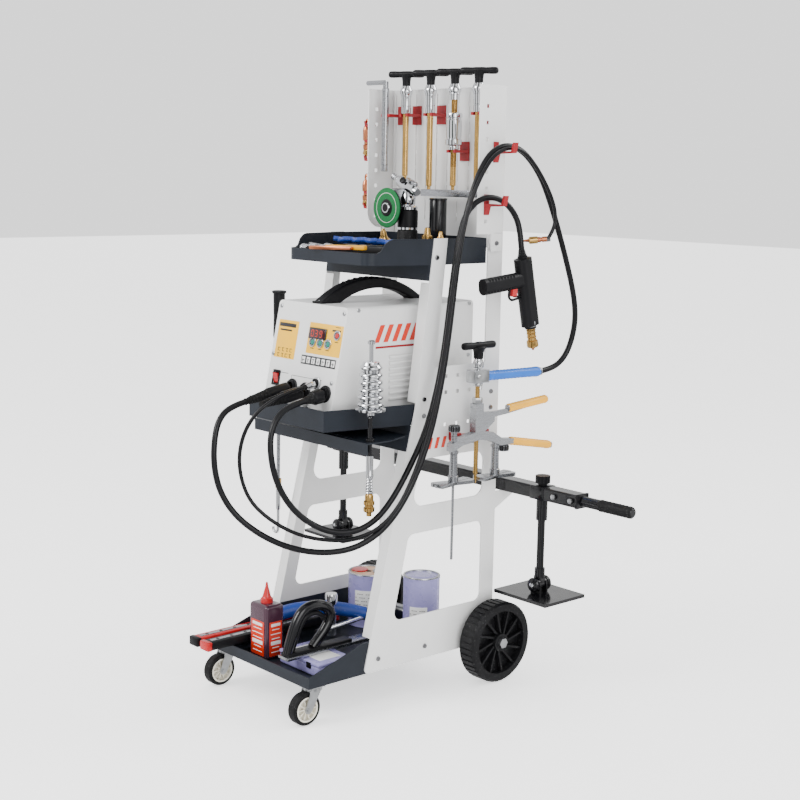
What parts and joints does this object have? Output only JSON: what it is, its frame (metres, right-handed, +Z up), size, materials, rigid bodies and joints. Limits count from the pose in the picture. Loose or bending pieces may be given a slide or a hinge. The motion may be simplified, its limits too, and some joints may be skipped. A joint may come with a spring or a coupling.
{
  "type": "trolley spot welder",
  "caption": "Trolley spot welder for pulling dents, with a hand gun, cables over hooks, trays, a peg panel and pulling tools.",
  "frame": {"origin": "on the floor under the middle of the whole station's box, cables left out", "axes": "+X is the trolley's right as seen from its front, the front faces -Y, +Z is up"},
  "size_m": [1.117, 0.9154, 1.483],
  "materials": {
    "frame_white": "satin powder coat",
    "tray_charcoal": "satin powder coat",
    "wheel_black": "moulded",
    "caster_rubber": "worn",
    "caster_rim": "moulded",
    "zinc": "zinc plated",
    "chrome": "polished",
    "brass": "turned",
    "case_white": "powder coat",
    "front_white": "powder coat with panels",
    "green_button": "moulded",
    "red_button": "moulded",
    "black_plastic": "moulded",
    "hook_red": "powder coat",
    "gun_black": "fine texture",
    "blue_grip": "moulded",
    "yellow_grip": "moulded",
    "transformer_steel": "laminated",
    "board_green": "circuit board",
    "cable_black": "sheath",
    "disc_green": "abrasive",
    "tool_mixed": "mixed"
  },
  "bodies": {
    "station": {"base_tray": "tray_charcoal", "side_frame_left": "frame_white", "side_frame_right": "frame_white", "upper_frame_left": "frame_white", "upper_frame_right": "frame_white", "frame_bolts": "zinc", "mid_shelf": "tray_charcoal", "tool_rack": "tray_charcoal", "top_tray": "tray_charcoal", "tool_panel": "frame_white", "rear_axle": "zinc", "caster_plates": "zinc", "welder_chassis": "case_white", "welder_cover": "case_white", "welder_front": "front_white", "output_sockets": "black_plastic", "carry_handle": "black_plastic", "transformer": "transformer_steel", "control_board": "board_green", "panel_hooks": "hook_red", "gun_body": "gun_black", "gun_nozzle": "brass", "cable_plugs": "black_plastic", "lever_beam": "wheel_black", "hammer_rod": "chrome", "hook_puller": "chrome", "pull_rods": "brass", "puller_bridge": "zinc", "ground_clamp": "blue_grip", "sander_body": "chrome", "tray_tools": "tool_mixed", "gun_cable": "cable_black", "ground_cable": "cable_black", "aux_cable": "cable_black"},
    "caster_swivel_left": {"caster_fork_left": "zinc"},
    "caster_swivel_right": {"caster_fork_right": "zinc"},
    "caster_wheel_left": {"caster_rim_left": "caster_rim", "caster_tyre_left": "caster_rubber"},
    "caster_wheel_right": {"caster_rim_right": "caster_rim", "caster_tyre_right": "caster_rubber"},
    "rear_wheel_left": {"rear_wheel_left": "wheel_black"},
    "rear_wheel_right": {"rear_wheel_right": "wheel_black"},
    "button_green_1": {"button_green_1": "green_button"},
    "button_green_2": {"button_green_2": "green_button"},
    "button_green_3": {"button_green_3": "green_button"},
    "button_red": {"button_red": "red_button"},
    "power_switch": {"power_switch": "red_button"},
    "cooling_fan": {"cooling_fan": "black_plastic"},
    "gun_trigger": {"gun_trigger": "red_button"},
    "lever_leg_left": {"lever_leg_left": "chrome"},
    "lever_leg_right": {"lever_leg_right": "chrome"},
    "lever_foot_left": {"lever_foot_left": "zinc"},
    "lever_foot_right": {"lever_foot_right": "zinc"},
    "lever_knob_left": {"lever_knob_left": "black_plastic"},
    "lever_knob_right": {"lever_knob_right": "black_plastic"},
    "hammer_weight": {"hammer_weight": "chrome"},
    "pull_weight": {"pull_weight": "chrome"},
    "puller_lever": {"puller_lever": "yellow_grip"},
    "puller_screw": {"puller_screw": "brass"},
    "sanding_disc": {"sanding_disc": "disc_green"}
  },
  "joints": [
    {"name": "caster_swivel_left", "type": "hinge", "parent": "station", "child": "caster_swivel_left", "pos_m": [-0.2005, -0.298, 0.08], "axis": [0, 0, 1], "continuous": true},
    {"name": "caster_spin_left", "type": "hinge", "parent": "caster_swivel_left", "child": "caster_wheel_left", "pos_m": [-0.2005, -0.321, 0.0375], "axis": [1, 0, 0], "continuous": true},
    {"name": "caster_swivel_right", "type": "hinge", "parent": "station", "child": "caster_swivel_right", "pos_m": [0.1335, -0.298, 0.08], "axis": [0, 0, 1], "continuous": true},
    {"name": "caster_spin_right", "type": "hinge", "parent": "caster_swivel_right", "child": "caster_wheel_right", "pos_m": [0.1335, -0.321, 0.0375], "axis": [1, 0, 0], "continuous": true},
    {"name": "rear_spin_left", "type": "hinge", "parent": "station", "child": "rear_wheel_left", "pos_m": [-0.2615, 0.224, 0.1], "axis": [1, 0, 0], "continuous": true},
    {"name": "rear_spin_right", "type": "hinge", "parent": "station", "child": "rear_wheel_right", "pos_m": [0.1945, 0.224, 0.1], "axis": [1, 0, 0], "continuous": true},
    {"name": "press_button_green_1", "type": "slide", "parent": "station", "child": "button_green_1", "axis": [0, 0.9801, -0.1983], "range_m": [0, 0.002], "stiffness_N_per_m": 250, "springref_m": -0.002},
    {"name": "press_button_green_2", "type": "slide", "parent": "station", "child": "button_green_2", "axis": [0, 0.9801, -0.1983], "range_m": [0, 0.002], "stiffness_N_per_m": 250, "springref_m": -0.002},
    {"name": "press_button_green_3", "type": "slide", "parent": "station", "child": "button_green_3", "axis": [0, 0.9801, -0.1983], "range_m": [0, 0.002], "stiffness_N_per_m": 250, "springref_m": -0.002},
    {"name": "press_button_red", "type": "slide", "parent": "station", "child": "button_red", "axis": [0, 0.9801, -0.1983], "range_m": [0, 0.002], "stiffness_N_per_m": 250, "springref_m": -0.002},
    {"name": "switch_rock", "type": "hinge", "parent": "station", "child": "power_switch", "pos_m": [-0.1255, -0.20342, 0.752], "axis": [1, 0, 0], "range_deg": [-8, 8]},
    {"name": "fan_spin", "type": "hinge", "parent": "station", "child": "cooling_fan", "pos_m": [-0.0335, 0.202, 0.8], "axis": [0, 1, 0], "continuous": true},
    {"name": "trigger_pull", "type": "slide", "parent": "station", "child": "gun_trigger", "axis": [0, 0, 1], "range_m": [0, 0.006], "stiffness_N_per_m": 300, "springref_m": -0.003},
    {"name": "leg_turn_left", "type": "hinge", "parent": "station", "child": "lever_leg_left", "pos_m": [-0.4735, 0.288, 0.481], "axis": [0, 0, 1], "range_deg": [-90, 90]},
    {"name": "foot_tilt_left", "type": "hinge", "parent": "lever_leg_left", "child": "lever_foot_left", "pos_m": [-0.4735, 0.288, 0.252], "axis": [0, 1, 0], "range_deg": [-25, 25]},
    {"name": "knob_turn_left", "type": "hinge", "parent": "lever_leg_left", "child": "lever_knob_left", "pos_m": [-0.4735, 0.288, 0.505], "axis": [0, 0, 1], "continuous": true},
    {"name": "leg_turn_right", "type": "hinge", "parent": "station", "child": "lever_leg_right", "pos_m": [0.2795, 0.288, 0.481], "axis": [0, 0, 1], "range_deg": [-90, 90]},
    {"name": "foot_tilt_right", "type": "hinge", "parent": "lever_leg_right", "child": "lever_foot_right", "pos_m": [0.2795, 0.288, 0.252], "axis": [0, 1, 0], "range_deg": [-8, 25]},
    {"name": "knob_turn_right", "type": "hinge", "parent": "lever_leg_right", "child": "lever_knob_right", "pos_m": [0.2795, 0.288, 0.505], "axis": [0, 0, 1], "continuous": true},
    {"name": "hammer_slide", "type": "slide", "parent": "station", "child": "hammer_weight", "axis": [0, 0, 1], "range_m": [0, 0.037]},
    {"name": "pull_weight_slide", "type": "slide", "parent": "station", "child": "pull_weight", "axis": [0, 0, 1], "range_m": [0, 0.028]},
    {"name": "puller_squeeze", "type": "hinge", "parent": "station", "child": "puller_lever", "pos_m": [0.1985, 0.178, 0.668], "axis": [1, 0, 0], "range_deg": [0, 14]},
    {"name": "screw_turn", "type": "hinge", "parent": "station", "child": "puller_screw", "pos_m": [0.1985, 0.139, 0.7], "axis": [0, 0, 1], "continuous": true},
    {"name": "disc_spin", "type": "hinge", "parent": "station", "child": "sanding_disc", "pos_m": [-0.0665, 0.08, 1.15], "axis": [0, -1, 0], "continuous": true}
  ]
}
